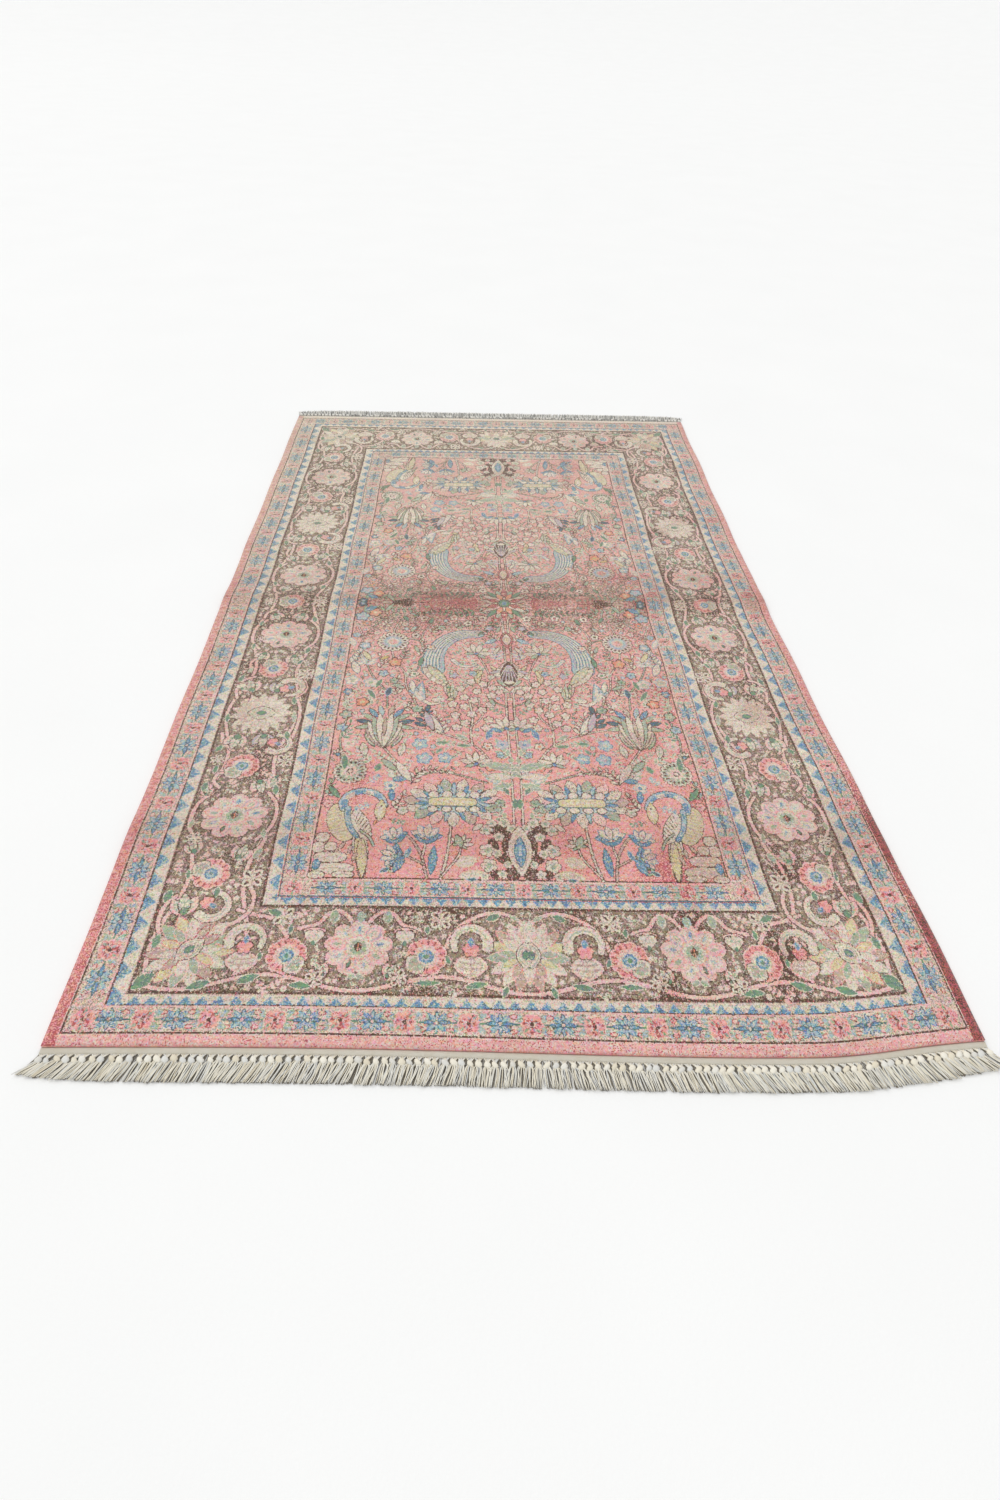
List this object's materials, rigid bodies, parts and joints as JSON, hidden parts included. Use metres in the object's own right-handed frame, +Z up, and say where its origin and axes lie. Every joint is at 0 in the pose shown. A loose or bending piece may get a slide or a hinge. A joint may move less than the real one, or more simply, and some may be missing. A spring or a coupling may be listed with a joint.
{
  "type": "pictorial silk rug",
  "caption": "Hand-knotted silk rug with a flower border, a garden field with birds, overcast sides and knotted fringes, lying flat.",
  "frame": {"origin": "middle of the rug's bounding box, on the surface that it lies on", "axes": "+Y along the rug from its near end to its far end, +X across it to the right, +Z up out of the pile"},
  "size_m": [1.2746, 2.1788, 0.0095],
  "materials": {
    "silk_pile": "dense knotted silk pile in rose, cream, taupe, blue and green, with a soft sheen",
    "selvedge_silk": "overcast rose silk",
    "flat_weave": "plain cream flat weave, matt",
    "warp_yarn": "ivory twisted warp yarn, matt"
  },
  "bodies": {
    "root": {"rug_body": "silk_pile", "selvedge_left": "selvedge_silk", "selvedge_right": "selvedge_silk", "kilim_near": "flat_weave", "kilim_far": "flat_weave", "fringe_near": "warp_yarn", "fringe_far": "warp_yarn"}
  },
  "joints": []
}
